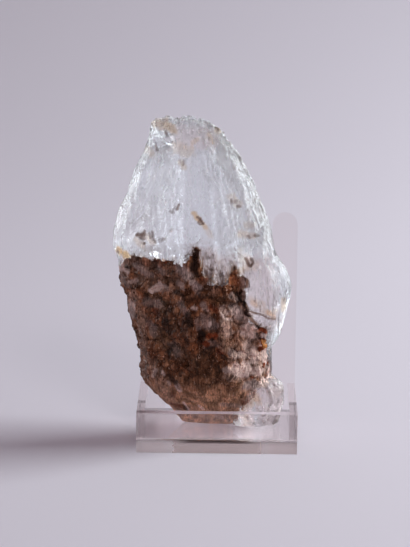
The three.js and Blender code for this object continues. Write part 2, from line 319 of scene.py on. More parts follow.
# Painted shade: the dark warm tint on the plate's sawn edges stands in for the shadowed paper and the
# brown crystal seen in them.
SAWN_EDGE_PAINTED_SHADE = (0.64, 0.54, 0.50, 1)
ACRYLIC_IOR = 1.49
acrylic, sheet_tree, sheet_shader = new_material("clear_acrylic")
across, deep, up = [place_in_mm(sheet_tree, axis) for axis in "XYZ"]
sawn = kept(sheet_tree, "sawn")
under_lip = between(sheet_tree, deep, LIP_BACK + LIP_BACK_FADE, LIP_BACK - LIP_BACK_FADE)
dark_band_top = JOINT_HEIGHT + DARK_BAND_TOP
dark_band_foot = JOINT_HEIGHT + DARK_BAND_FOOT
# A dark brown band along the middle of the joint under the lip, tapering at both ends.
dark_band = product(
    sheet_tree,
    under_lip,
    between(sheet_tree, up, dark_band_top, dark_band_top - DARK_BAND_TOP_FADE),
    between(sheet_tree, up, dark_band_foot, dark_band_foot + DARK_BAND_FOOT_FADE),
    between(sheet_tree, across, DARK_BAND_LEFT, DARK_BAND_LEFT + DARK_BAND_TAPER),
    between(sheet_tree, across, DARK_BAND_RIGHT, DARK_BAND_RIGHT - DARK_BAND_TAPER),
)
# Painted shadow of the crystal, darkening the lip's left end in upright streaks.
painted_crystal_shadow = product(
    sheet_tree,
    under_lip,
    between(sheet_tree, across, CRYSTAL_SHADOW_END, CRYSTAL_SHADOW_END - CRYSTAL_SHADOW_FADE),
    between(sheet_tree, up, JOINT_HEIGHT, JOINT_HEIGHT + CRYSTAL_SHADOW_RISE),
    patches(sheet_tree, **CRYSTAL_SHADOW_STREAKS),
)
saw_waves = product(sheet_tree, noise_of(sheet_tree, SAW_WAVE_SIZE), SAW_WAVE_REACH)
wavy_across = total(sheet_tree, across, saw_waves)
scuffed_left = between(sheet_tree, wavy_across, SCUFFED_LEFT_END, SCUFFED_LEFT_END - SCUFFED_LEFT_FADE)
scuffed_right = between(
    sheet_tree, across, SCUFFED_RIGHT_START, SCUFFED_RIGHT_END, 0, SCUFFED_RIGHT_SHARE
)
scuffed = product(sheet_tree, total(sheet_tree, scuffed_left, scuffed_right), under_lip, sawn)
sheet_color = layered(sheet_tree, FACE_TINT, [
    # Painted shade on the plate's sawn edges.
    (between(sheet_tree, sawn, DULLEST, 1), SAWN_EDGE_PAINTED_SHADE),
    (scuffed, SCUFFED_TINT),
    (painted_crystal_shadow, CRYSTAL_SHADOW_TINT),
    (dark_band, DARK_BAND_BROWN),
])
sheet_tree.links.new(sheet_color, sheet_shader.inputs["Base Color"])
polish = between(sheet_tree, sawn, 0, 1, FACE_ROUGHNESS, EDGE_ROUGHNESS)
dullness = total(sheet_tree, polish, product(sheet_tree, scuffed, SCUFFED_ROUGHNESS))
sheet_tree.links.new(dullness, sheet_shader.inputs["Roughness"])
sheet_shader.inputs["IOR"].default_value = ACRYLIC_IOR
sheet_shader.inputs["Transmission Weight"].default_value = 1.0

# The walls and fingers stand behind the focus, where their edges hardly show, and the lip's polished
# top is as faint. A weak IOR gives that.
FAINT_TINT = (0.95, 0.915, 0.91, 1)
FAINT_ROUGHNESS = 0.05
FAINT_IOR = 1.04
faint_acrylic, _, faint_shader = new_material("faint_acrylic")
faint_shader.inputs["Base Color"].default_value = FAINT_TINT
faint_shader.inputs["Roughness"].default_value = FAINT_ROUGHNESS
faint_shader.inputs["IOR"].default_value = FAINT_IOR
faint_shader.inputs["Transmission Weight"].default_value = 1.0


def merged_copy(node, name):
    """A separate object with a copy of a CAD node's mesh, its loose triangles joined up."""
    piece = bpy.data.objects.new(name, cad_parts[node].data.copy())
    scene.collection.objects.link(piece)
    deselect_all()
    piece.select_set(True)
    bpy.context.view_layer.objects.active = piece
    bpy.ops.object.mode_set(mode="EDIT")
    bpy.ops.mesh.select_all(action="SELECT")
    bpy.ops.mesh.remove_doubles(threshold=LOOSE_TRIANGLE_GAP)
    bpy.ops.mesh.normals_make_consistent(inside=False)
    bpy.ops.object.mode_set(mode="OBJECT")
    piece.data.materials.clear()
    return piece


def mark_sawn_faces(piece, node):
    """Keeps on every face how dull the saw left it: 0 on the sheet's own two faces."""
    low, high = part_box(node)
    through_sheet = min(range(3), key=lambda axis: high[axis] - low[axis])
    dullness_of_edges = SAWN_DULLNESS.get(node, OTHER_DULLNESS)
    marks = piece.data.attributes.new("sawn", "FLOAT", "FACE")
    for face, mark in zip(piece.data.polygons, marks.data):
        mark.value = 0 if abs(face.normal[through_sheet]) > THROUGH_SHEET else dullness_of_edges


for node in STAND_NODES:
    piece = merged_copy(node, node.replace("stand_", "acrylic_"))
    bpy.ops.object.mode_set(mode="EDIT")
    bpy.ops.mesh.dissolve_limited(angle_limit=FLAT_ANGLE)
    bpy.ops.object.mode_set(mode="OBJECT")
    bpy.ops.object.shade_smooth_by_angle(angle=ROUND_ANGLE)
    bevel = piece.modifiers.new("broken edges", "BEVEL")
    bevel.width = EDGE_BREAK
    bevel.segments = EDGE_BREAK_STEPS
    bevel.limit_method = "ANGLE"
    bevel.angle_limit = EDGE_BREAK_ANGLE
    bevel.harden_normals = True
    bpy.ops.object.modifier_apply(modifier=bevel.name)
    piece.data.materials.append(acrylic if node in FRONT_NODES else faint_acrylic)
    if node == "stand_front_lip":
        piece.data.materials.append(faint_acrylic)
        for face in piece.data.polygons:
            face.material_index = int(face.normal.z > FACING_UP)
    mark_sawn_faces(piece, node)
    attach(piece, "root")
    piece.visible_shadow = False
    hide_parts(node)


# The crystal: one piece of topaz, its faces etched into fine upright grooves. Its lower left is
# rough and coated with brown iron stain. It stands loose on the plate and leans on the fingers.
# First its shape, from the CAD solid with an even grain of small faces. Its points are in mm.
GRAIN = 0.42 * MM
PLATE_TOP_MM = PLATE_TOP / MM
NOISE_REACH = 1.6
FACET_WARP = 0.45
FACET_TILT = 1.4
FACET_STEP = 0.4
TILT_DRAW, TONE_DRAW = 9.7, 5.3
FACET_SEED = 1

crystal = merged_copy("topaz_crystal", "topaz")
remesh = crystal.modifiers.new("even grain", "REMESH")
remesh.mode = "VOXEL"
remesh.voxel_size = GRAIN
bpy.ops.object.modifier_apply(modifier=remesh.name)

points = np.zeros(len(crystal.data.vertices) * 3)
crystal.data.vertices.foreach_get("co", points)
points = points.reshape(-1, 3) / MM
heights_up = points[:, 2]
normals = np.zeros_like(points).ravel()
crystal.data.vertex_normals.foreach_get("vector", normals)
normals = normals.reshape(-1, 3)

# Without a seed, noise_vector bends the facets another way in each run.
noise.seed_set(FACET_SEED)


def ramp(value, low, high):
    """0 below low, 1 above high and a smooth step between."""
    share = np.clip((value - low) / (high - low), 0, 1)
    return share * share * (3 - 2 * share)


def grain_field(size, shift=0.0):
    """Smooth noise from about -1 to 1 at every point, with features of the given size in mm."""
    places = points / np.array(size) + shift
    return np.array([noise.noise(Vector(place)) for place in places]) * NOISE_REACH


def grain_layers(layers):
    """Fields of noise added up, each written as its height, its size in mm and its shift."""
    return sum(height * grain_field(size, shift) for height, size, shift in layers)


def facets(size, shift=0.0):
    """Small flat facets, one to a cell of the given size in mm, each tilted its own way.

    Gives the height at every point and its facet's own tone, both from about -1 to 1, and how far
    off the nearest seam is, as a share of the size.
    """
    heights, tones, seams = np.empty((3, len(points)))
    for index, place in enumerate(points / np.array(size) + shift):
        place = Vector(place) + FACET_WARP * noise.noise_vector(Vector(place))
        distances, centres = noise.voronoi(place)
        tilt = noise.cell_vector(centres[0] * TILT_DRAW) * 2 - Vector((1, 1, 1))
        tones[index] = noise.cell(centres[0] * TONE_DRAW)
        heights[index] = tilt.dot(place - centres[0]) * FACET_TILT + FACET_STEP * tones[index]
        seams[index] = distances[1] - distances[0]
    return heights, tones, seams


# Then where it is stained. Outlines of the stained skin in front and behind, seen from the front, as
# points across and up in mm, clockwise from the left. They meet near the crystal's middle plane,
# which leans back, and the border wobbles.
STAIN_FRONT = [
    (-40, 54), (-31.3, 54.1), (-29, 57.9), (-25.3, 59.1), (-23.2, 59.5), (-21.5, 58), (-19.8, 59),
    (-17.4, 58.6), (-13.1, 59.1), (-11.4, 58.2), (-9.8, 59.9), (-8.1, 61), (-7.5, 63.4), (-6.3, 63.2),
    (-5.8, 59.3), (-5.2, 55.8), (-3.1, 52.7), (0.2, 52), (2.9, 52), (3.4, 55.5), (4.4, 58), (6.1, 54.7),
    (8.2, 52.9), (7.8, 48.4), (8.4, 45), (10.3, 42), (9.2, 39.4), (12.4, 38.4), (15.8, 37.8),
    (14.9, 34.5), (15.3, 31.4), (16.5, 23.2), (17.2, 19.6), (14.8, 18.4), (12.5, 17), (11, 14.4),
    (7.7, 11.5), (6.6, 9.1), (3, 3), (-40, 3),
]
STAIN_BACK = [
    (-40, 57), (-24, 52), (-14, 54), (-2, 50), (6, 41), (4, 30), (9, 22), (8, 3), (-40, 3),
]
MIDDLE_AT_FOOT = 3.0
LEAN = 0.1
FRONT_TO_BACK = (-2, 3)
EDGE_WOBBLE = [(0.8, (1.5, 1.5, 2.2), 0), (0.6, (0.7, 0.7, 1.1), 7.3)]
EDGE_FADE = (-0.4, 0.6)


def depth_inside(outline):
    """How far each point lies inside an outline seen from the front, in mm; negative outside."""
    x, z = points[:, 0], points[:, 2]
    inside = np.zeros(len(points), bool)
    nearest = np.full(len(points), np.inf)
    for (x0, z0), (x1, z1) in zip(outline, outline[1:] + outline[:1]):
        share = ((x - x0) * (x1 - x0) + (z - z0) * (z1 - z0)) / ((x1 - x0) ** 2 + (z1 - z0) ** 2)
        share = np.clip(share, 0, 1)
        off_side = np.hypot(x - x0 - share * (x1 - x0), z - z0 - share * (z1 - z0))
        nearest = np.minimum(nearest, off_side)
        crosses = (z0 > z) != (z1 > z)
        left_of = x < x0 + (z - z0) * (x1 - x0) / (z1 - z0 if z1 != z0 else 1)
        inside ^= crosses & left_of
    return np.where(inside, nearest, -nearest)


behind_middle = points[:, 1] - MIDDLE_AT_FOOT - LEAN * (heights_up - PLATE_TOP_MM)
in_front = 1 - ramp(behind_middle, *FRONT_TO_BACK)
outline_depth = in_front * depth_inside(STAIN_FRONT) + (1 - in_front) * depth_inside(STAIN_BACK)
stain_depth = outline_depth + grain_layers(EDGE_WOBBLE)
stained = ramp(stain_depth, *EDGE_FADE)

# What marks its front. Each mark is a stroke: from (across, up) to (across, up) in mm, then half
# its width and its strength. First soot and cracks, grey, smoky, olive and pale lumps, and rust
# spots, all on the stain or close beside it. The smoky strokes are thin stain, and along the left
# edge their lighter colour is also painted light, shining through it.
SOOTY = [
    (-7.3, 62.1, -7.6, 57.2, 1, 0.9), (-7.9, 57.9, -6.6, 54.8, 0.7, 0.7),
    (-20, 58, -19.1, 55, 0.8, 0.6), (-15.6, 56.9, -13.1, 53.1, 1.2, 0.5), (-9.3, 43, -8.6, 40, 1, 0.9),
    (-16.5, 39.7, -15.5, 36.7, 1.2, 0.8), (-5.2, 37, -5.5, 34.6, 1, 0.9),
    (-3.9, 30.7, -1.8, 32, 1.1, 0.7), (-1.8, 35.2, -1.8, 35.1, 0.5, 0.9), (1, 52, 2.4, 48.6, 0.6, 0.6),
    (-0.7, 52, 0.5, 51.6, 0.5, 0.7), (5.8, 49, 7, 46.3, 0.3, 1), (7, 49, 6.4, 46.2, 0.3, 1),
    (3, 46.7, 6, 46, 0.5, 0.8), (8, 45.5, 9.3, 43.3, 0.5, 1), (8.4, 42.7, 12.5, 37.8, 0.4, 1),
    (10, 43, 13.6, 41.8, 0.12, 1), (13.6, 41.8, 18, 39.7, 0.08, 1), (8.8, 52.7, 8.9, 51, 0.4, 1),
    (4.7, 57.6, 4.8, 57, 0.4, 0.9), (-10.5, 38.5, -9.5, 33.2, 0.8, 0.6), (-9, 48, 2, 47, 2.2, 0.3),
    (-12, 25.5, 0, 24, 3.5, 0.25), (-11, 41.5, -9.6, 36, 0.7, 0.5),
    (-12.5, 49.7, -10.6, 48.6, 0.7, 0.7), (-5.6, 48.7, -2, 48.2, 0.6, 0.7), (0, 31, 2, 29.2, 0.7, 0.6),
    (-15, 32, -15.2, 28, 0.6, 0.5), (-15, 21.4, -13.3, 19.6, 0.8, 0.6), (-9, 28.4, -7.6, 23, 1, 0.5),
    (-11, 10.8, -9.2, 8, 0.4, 0.8), (3.3, 22, 4.6, 23, 0.3, 0.6), (12.2, 35.5, 12.9, 34, 0.4, 0.9),
    (-6.7, 34.6, -5.5, 32.8, 0.5, 0.6), (0.2, 26.2, 1.4, 23.5, 0.5, 0.5), (8, 16, 7.8, 14.7, 0.3, 0.7),
    (-20, 41.8, -16.2, 42.8, 0.5, 0.4), (-29, 54.7, -27.7, 54.8, 0.3, 0.8),
    (-4, 44, -3.7, 43.3, 0.4, 0.8),
]
GREY_LUMPS = [
    (-12, 57.2, -9.4, 55, 1.4, 0.8), (-12.2, 52.6, -11, 51.4, 0.8, 0.6),
    (-8.5, 53.2, -5.7, 51, 0.8, 0.8), (-6.9, 50.4, -6.3, 49.8, 0.8, 0.5),
    (-25.5, 55.8, -23.5, 54.6, 1, 0.55), (-23.2, 54.4, -21.3, 53.6, 1, 0.5),
    (-22.6, 44.6, -18.8, 44.6, 1.2, 0.4), (-18.5, 56.3, -17.2, 55.4, 0.8, 0.45),
    (-11.5, 46, -10, 43.7, 1, 0.45), (-4, 41.3, -1.5, 39.2, 1.6, 0.5),
    (-6.8, 40.6, -5.9, 38.8, 0.7, 0.4), (4.6, 44.8, 6.8, 41.6, 1.3, 0.75),
    (-21.3, 38.5, -20, 34.6, 1, 0.35), (8, 40.7, 9.3, 39.4, 0.7, 0.5), (4, 31.2, 6.3, 29.7, 1, 0.6),
    (-14, 32.2, -12.4, 29.5, 1.2, 0.3), (9.3, 18.3, 11.2, 18.8, 1.3, 0.9),
    (-3.6, 33, -1.2, 33.7, 1, 0.35), (-30.4, 50.4, -29, 49, 0.8, 0.5),
    (-12.3, 19, -11.7, 17.3, 0.5, 0.6), (1.5, 12.4, 6, 11.7, 0.6, 0.5), (-0.3, 8, 1.6, 7, 0.6, 0.5),
    (4.2, 48.7, 6, 47, 0.8, 0.45), (-18, 49.4, -15.6, 50.3, 0.6, 0.3),
]
# Smoky strokes: thin stain; on the left edge their lighter colour is also painted light shining through.
SMOKY_AND_SHINE_THROUGH = [
    (-30.5, 57, -30.3, 51.5, 2, 0.9), (-26.5, 46, -26, 41, 1.6, 0.5), (-24, 40, -23.6, 20, 1.4, 0.5),
    (-22.5, 24, -17, 18.5, 2.5, 0.45), (-17, 16, -12, 9, 1.6, 0.6), (-21, 51, -14, 50.5, 1.6, 0.3),
    (-28, 57.5, -23, 56, 1.6, 0.4), (2.8, 44.5, 3, 41, 1.8, 0.45), (6.2, 43, 6, 40, 2, 0.6),
    (2.4, 38.5, 2.4, 33.5, 2.2, 0.4), (7, 35, 7.4, 29, 1.6, 0.4), (10.3, 37, 10, 31.5, 2.4, 0.8),
    (12.5, 29, 12.5, 25, 2.2, 0.85), (5, 29, 5, 26.5, 1.8, 0.6), (4.5, 23.3, 13, 22.5, 2.2, 0.9),
    (9.5, 19, 11, 16, 2.2, 0.5), (-3.5, 54, -1, 50.5, 1.5, 0.25), (-10, 9, 4, 8, 2, 0.35),
    (-24, 57, -10, 56, 2.5, 0.22), (-24, 52, -12, 53, 2, 0.2),
]
OLIVE = [
    (-21, 47, -18, 45, 2, 0.6), (-19, 35, -13, 30, 2.6, 0.6), (-6, 27, 2, 22, 3, 0.35),
    (-24, 52, -20, 48, 1.5, 0.3),
]
PALE_GLASS = [
    (-20.6, 48.8, -18, 51, 0.7, 0.95), (-17.8, 51.3, -16.2, 50.7, 0.4, 0.6),
    (-31, 53.3, -28.7, 53.3, 0.5, 1), (-31.3, 57, -30.5, 55, 0.6, 1),
    (-27.2, 42.6, -27.2, 38.7, 0.8, 0.6), (1.2, 45.2, 2.4, 43.4, 0.8, 0.4),
    (0.9, 43.9, 2.2, 41.9, 0.2, 0.9), (2.5, 41.8, 4.6, 40.7, 0.2, 0.8), (5.8, 43.7, 6.2, 43, 0.3, 1),
    (2, 40.6, 3.5, 36.6, 1.3, 0.2), (8.4, 37, 10.6, 35.4, 1.4, 0.7), (8.8, 32.4, 8.9, 28.8, 1.1, 0.45),
    (11, 30.2, 11, 26.3, 0.8, 0.7), (2.7, 25.3, 4, 25, 1, 0.6), (5.8, 25.8, 6.4, 23.4, 1.1, 0.8),
    (8.9, 25.4, 8.6, 23, 1.6, 0.95), (12, 23.2, 12.7, 22.7, 1.4, 0.9), (14.3, 28.2, 15, 25.6, 0.8, 0.8),
    (12.6, 28, 12, 26.2, 0.8, 0.6), (-17.4, 22.6, -16.8, 21.6, 0.3, 0.7),
    (-15.5, 19, -15, 18.3, 0.3, 0.7), (-10.5, 11.8, -9, 8.5, 0.25, 1), (-13, 18, -11.7, 16.5, 0.3, 0.8),
    (-5.7, 11.4, -4.4, 10.5, 0.3, 0.6), (13.7, 41, 16.8, 39.5, 0.4, 0.8),
    (15.6, 39.6, 17.5, 39, 0.6, 0.6), (-4.7, 46, -3.7, 44.3, 0.8, 0.35),
    (-7.8, 45.2, -6.8, 44.7, 0.4, 0.5), (-19.3, 23, -20.3, 20.5, 0.3, 0.5),
    (-27.7, 50.2, -25.5, 51, 0.4, 0.4), (-2.5, 40.3, -2.5, 39, 0.25, 0.8),
]
RUSTY = [
    (14.2, 33.2, 14.6, 31.2, 0.7, 1), (13.4, 30.6, 13.6, 29.8, 0.5, 0.7),
    (13.4, 37.1, 14.6, 36.5, 0.6, 0.7), (14.6, 24.4, 14.3, 23.9, 0.35, 0.7),
    (16, 24.2, 16.2, 23.6, 0.2, 0.6), (15.9, 21, 15.2, 20.4, 0.4, 0.3),
    (12, 15.7, 12.2, 14.2, 0.8, 0.3), (8, 12.7, 10.7, 13.3, 0.6, 0.3),
    (10.6, 21.3, 11.4, 20.9, 0.25, 0.4), (-5, 34.2, -3.3, 33.3, 0.6, 0.6), (-3, 36, -0.6, 36, 0.6, 0.5),
    (-5, 54.2, -3.2, 53.7, 1, 0.2), (5, 53.6, 6, 51.8, 0.8, 0.2), (7.6, 37.4, 8.4, 36.8, 0.4, 0.25),
    (10.5, 46.2, 11.7, 45, 0.5, 0.4), (-24, 58.7, -22.3, 57.2, 0.9, 0.2),
    (-19.2, 58, -18.2, 57.6, 0.9, 0.25), (-17.2, 59, -16.6, 58.5, 0.3, 0.7),
    (-2.5, 45, -0.7, 44.5, 0.8, 0.3), (-14, 15, -13, 13.3, 0.8, 0.2),
    (-14.3, 10.6, -11.4, 10, 0.6, 0.3), (15.5, 43, 17.5, 40.3, 0.5, 0.5),
    (-20, 42.6, -18.7, 42.3, 0.7, 0.25), (0, 31.3, 1.4, 30.7, 0.6, 0.35),
]
# Then what marks the clear part: dark specks, amber films, a brown haze above the stain, a pink
# wash, and painted highlights: white strokes, each raised a little, where the edges glint.
SPECKS = [
    (-25.2, 65.7, -23.3, 66, 0.5, 1), (-24.6, 65, -23.3, 64.7, 0.4, 0.9),
    (-23.3, 63.5, -23.2, 63.4, 0.3, 1), (-23, 67.2, -23, 66.6, 0.3, 0.8),
    (-21.7, 66.7, -21, 65.3, 0.25, 0.8), (-20.8, 67, -20.4, 65.4, 0.25, 0.7),
    (-20.4, 64.8, -19.8, 64.3, 0.3, 0.8), (-18, 64.8, -17, 65.5, 0.3, 0.5),
    (-15.5, 67.7, -14.5, 68.7, 0.2, 0.4), (-15, 73.7, -14.3, 73.8, 0.3, 0.6),
    (-14, 74.7, -13.4, 75.3, 0.3, 0.5), (-13, 74.8, -12.5, 76, 0.25, 0.9),
    (-6.8, 72.6, -5.9, 72, 0.2, 0.9), (-5.9, 72, -5, 70.5, 0.25, 1), (-6.5, 71, -5.9, 70.5, 0.2, 0.8),
    (3.6, 77, 3.9, 76.6, 0.3, 0.7), (5, 76.7, 5.1, 76.5, 0.3, 0.7), (5.8, 75, 6.1, 74.9, 0.3, 0.7),
    (9, 66, 9.3, 65.4, 0.25, 0.6), (11, 65.8, 12.4, 65.5, 0.2, 0.8), (8.4, 59.4, 8.8, 58.7, 0.3, 0.9),
    (9, 58, 9.4, 57.5, 0.3, 1), (10, 57.2, 10.6, 58, 0.3, 1), (10, 59.2, 10.6, 58.3, 0.25, 0.9),
    (6.3, 88.6, 6.6, 87.7, 0.25, 0.8), (-20, 92.3, -19.6, 91, 0.25, 0.7),
    (-17, 97, -16.6, 95.6, 0.25, 0.7), (-11.7, 87.8, -11, 89, 0.3, 0.5),
    (-18, 99, -17.8, 99.9, 0.3, 0.5), (-31.7, 59, -31.7, 58.7, 0.3, 0.9),
]
AMBER_FILMS = [
    (-25.5, 64, -24, 62.5, 0.8, 0.35), (-22.7, 65.7, -20.7, 64, 0.8, 0.35),
    (-7.8, 73.5, -6.2, 71.7, 0.6, 0.8), (-6.2, 71.7, -4, 69.3, 0.5, 0.7),
    (-4, 69.3, -2.8, 67, 0.7, 0.25), (-31, 59.4, -29.2, 58.7, 1.2, 1),
    (-29, 58.8, -27.7, 58.7, 0.4, 0.6), (3.6, 77.8, 6, 75.7, 1.1, 0.25),
    (6.5, 67, 10.6, 65.8, 0.8, 0.35), (8.3, 69.4, 10, 69, 0.8, 0.25), (7.8, 59.2, 11, 57.5, 1.4, 0.25),
    (-13.7, 92.8, -9.3, 92, 1.5, 0.3), (-13, 91.7, -10, 91, 1, 0.25),
    (-12.3, 88.6, -11, 87.3, 0.7, 0.4), (-21, 99.5, -17.5, 99.5, 1.4, 0.5),
    (-17, 99.2, -14.4, 97.3, 1, 0.6), (-23.2, 91, -21.5, 90, 1.1, 0.3), (-8.7, 94, -7.2, 95, 0.5, 0.35),
    (-1.4, 97.3, -0.4, 96.7, 0.6, 0.45), (-3.5, 96.4, -2.2, 94, 0.4, 0.35),
    (20.5, 45.6, 20.3, 42.2, 0.6, 0.45), (10.5, 46.8, 13.6, 45, 1, 0.25),
    (14.3, 43, 17.7, 42.3, 0.8, 0.3), (7.2, 56.2, 8.8, 56.6, 0.8, 0.35),
    (14, 21.4, 15, 18.5, 0.8, 0.35), (11.6, 14.5, 13, 13.3, 1, 0.4), (6.5, 62.3, 7, 58.8, 0.5, 0.2),
    (9, 11.3, 11, 12.6, 0.8, 0.3), (17, 16, 20, 15, 1, 0.15), (8, 9, 10, 6, 1.2, 0.2),
]
BROWN_HAZE = [
    (-4.5, 54.5, 3.4, 53.5, 1.6, 1), (-5.6, 60, -5, 56, 0.8, 1), (-5, 58, 4, 57, 1.6, 0.35),
    (4.6, 57, 5.6, 53, 1, 1), (-5.5, 59, -4, 55, 1.6, 0.8), (-2.7, 61, -1.4, 57, 1.9, 0.5),
    (-2.5, 56, 0.5, 54, 2, 0.8), (0.4, 58.2, 1, 54, 1.6, 0.6), (3, 55.7, 3.6, 53, 1.3, 0.8),
    (5.4, 56, 5.7, 52, 1, 1), (-6.4, 62.7, -6, 59, 0.5, 0.8), (7, 51.5, 6.7, 49, 1, 0.5),
    (-22.5, 61.6, -18.5, 61.4, 1, 0.35),
]
PINK_WASH = [
    (12, 55, 15, 40, 5, 0.8), (15, 20, 18, 8, 5, 1), (8.5, 12, 9.5, 5, 2.5, 1),
    (-12, 96, -3, 95, 3, 0.6), (-4, 60, 4, 56, 4, 0.6),
]
# Painted highlights: white strokes where the clear edges glint.
PAINTED_GLINTS = [
    (-31, 72.3, -31.7, 66.3, 0.8, 1), (-32, 65, -32.4, 62.5, 0.6, 0.6),
    (-9.3, 90, -9.4, 80.5, 0.3, 0.6), (-9.4, 80, -8.7, 74.7, 0.3, 0.6), (3.8, 88, 5.4, 84.6, 0.3, 0.9),
    (-3.6, 99.3, -2.3, 98, 0.3, 0.7), (9.2, 73, 9.2, 71.4, 0.6, 0.8), (14, 64.8, 14.7, 64.4, 0.4, 0.8),
    (-16, 92, -16, 91.3, 0.3, 0.8), (0.8, 77.3, 1.4, 76, 0.3, 0.5), (3, 73, 3.3, 72, 0.3, 0.5),
    (1, 61.8, 1.6, 59.4, 0.3, 0.8), (2.6, 59, 3.2, 57, 0.6, 0.6), (-16.8, 76.4, -16.5, 75.8, 0.3, 0.8),
    (-14.7, 77.8, -14.7, 76.6, 0.3, 0.7), (-11.2, 76.7, -11.2, 76.6, 0.3, 0.8),
    (-10.8, 67, -9.5, 65.5, 0.25, 0.5), (-2, 80.6, -1, 77.7, 0.6, 0.35),
    (18.3, 12.5, 18.6, 10.4, 0.5, 0.5), (14, 16.3, 14.4, 15.7, 0.3, 0.5),
    (16.6, 59.3, 17, 58.7, 0.3, 0.6), (11.7, 49.3, 10.8, 46.8, 0.3, 0.6),
]
THINNEST = 0.18
STROKE_REACH = 1.4
STROKE_FADE = 0.8
RAGGEDNESS = [(0.3, (1.1, 1.1, 1.3), 6.2), (0.15, (0.6, 0.6, 0.6), 9.4)]
ragged = grain_layers(RAGGEDNESS)


def strokes(places):
    """0 to 1 at every point: how strongly it lies on one of the strokes, which have ragged edges."""
    strongest = np.zeros(len(points))
    for x0, z0, x1, z1, half_width, strength in places:
        across, up = points[:, 0] - x0, points[:, 2] - z0
        length = math.hypot(x1 - x0, z1 - z0)
        along = np.clip((across * (x1 - x0) + up * (z1 - z0)) / length ** 2, 0, 1)
        off_line = np.hypot(across - along * (x1 - x0), up - along * (z1 - z0))
        reach = off_line / (half_width + THINNEST)
        strongest = np.maximum(strongest, strength * ramp(STROKE_REACH - reach + ragged, 0, STROKE_FADE))
    return strongest * in_front


# Its relief: broken lumps under the stain, flatter near the foot, and upright grooves and flats on
# the clear faces, deeper on the right. Heights are in mm, and so are sizes across, deep and up.
BIG_LUMP_SIZE, BIG_LUMP_HEIGHT = (3.2, 3.2, 2.8), 0.42
SMALL_LUMP_SIZE, SMALL_LUMP_HEIGHT, SMALL_LUMP_SHIFT = (1.5, 1.5, 1.4), 0.18, 4.4
SEAM_EDGES, SEAM_DEPTH = (0.03, 0.2), 0.2
FOOT_FADE, FOOT_FLATNESS = (13, 24), 0.6
LUMP_GRAIN = [(0.12, (1, 1, 1), 3.1), (0.08, (0.8, 0.8, 6), 2.2)]
RIGHT_FADE, TOE_FADE, CREST_FADE = (5, 13), (20, 26), (86, 97)
FLAT_SIZE, FLAT_SHIFT, FLAT_HEIGHT = (2.6, 2.6, 9), 2.6, 0.14
HIGHER_ON_RIGHT, HIGHER_ON_TOE = 0.08, 0.2
GROOVES = [(0.22, (5, 5, 24), 0), (0.1, (1.3, 1.3, 12), 0), (0.07, (0.8, 0.8, 6), 5.7)]
CHIP_SIZE, CHIP_SHIFT, CHIP_LEVEL, CHIP_DEPTH = (1.6, 1.6, 3), 1.9, 0.4, 0.3
GLINT_RIDGE_HEIGHT = 0.2
CREST_SIZE, CREST_SHIFT, CREST_HEIGHT = (2.4, 2.4, 2.0), 8.1, 0.35
RELIEF_FADE = (0.2, 2.5)
LOWEST_ABOVE_PLATE = 0.1

big_heights, big_tones, big_seams = facets(BIG_LUMP_SIZE)
small_heights, small_tones, _ = facets(SMALL_LUMP_SIZE, SMALL_LUMP_SHIFT)
lump_tone = (big_tones + small_tones) / 2
foot = 1 - ramp(heights_up, *FOOT_FADE)
seam = (1 - foot) * (1 - ramp(big_seams, *SEAM_EDGES))
broken = BIG_LUMP_HEIGHT * big_heights + SMALL_LUMP_HEIGHT * small_heights - SEAM_DEPTH * seam
rough_skin = (1 - FOOT_FLATNESS * foot) * broken + grain_layers(LUMP_GRAIN)

on_the_right = ramp(points[:, 0], *RIGHT_FADE)
on_the_toe = on_the_right * (1 - ramp(heights_up, *TOE_FADE))
flat_height = FLAT_HEIGHT + HIGHER_ON_RIGHT * on_the_right + HIGHER_ON_TOE * on_the_toe
upright_flats = flat_height * facets(FLAT_SIZE, FLAT_SHIFT)[0]
chips = CHIP_DEPTH * np.maximum(0, grain_field(CHIP_SIZE, CHIP_SHIFT) - CHIP_LEVEL)
painted_glints = strokes(PAINTED_GLINTS)
crest = CREST_HEIGHT * ramp(heights_up, *CREST_FADE) * facets(CREST_SIZE, CREST_SHIFT)[0]
clear_skin = upright_flats + grain_layers(GROOVES) - chips + GLINT_RIDGE_HEIGHT * painted_glints + crest

relief = stained * rough_skin + (1 - stained) * clear_skin
relief *= ramp(heights_up - PLATE_TOP_MM, *RELIEF_FADE)
shaped = points + normals * relief[:, None]
shaped[:, 2] = np.maximum(shaped[:, 2], PLATE_TOP_MM + LOWEST_ABOVE_PLATE)
crystal.data.vertices.foreach_set("co", (shaped * MM).ravel())
crystal.data.update()

BORDER_FADE = (0.3, 2.5)
KEPT_ON_POINTS = {
    "stain_depth": stain_depth,
    "lump_tone": lump_tone,
    "seam": seam,
    "foot": foot,
    "pale_border": on_the_right * (1 - ramp(stain_depth, *BORDER_FADE)),
    "sooty": strokes(SOOTY),
    "grey_lump": strokes(GREY_LUMPS),
    "smoky_and_shine_through": strokes(SMOKY_AND_SHINE_THROUGH),
    "olive": strokes(OLIVE),
    "pale_glass": strokes(PALE_GLASS),
    "rusty": strokes(RUSTY),
    "speck": strokes(SPECKS),
    "amber_film": strokes(AMBER_FILMS),
    "brown_haze": strokes(BROWN_HAZE),
    "pink_wash": strokes(PINK_WASH),
    "painted_glint": painted_glints,
}
for name, values in KEPT_ON_POINTS.items():
    attribute = crystal.data.attributes.new(name, "FLOAT", "POINT")
    attribute.data.foreach_set("value", values.astype(np.float32))


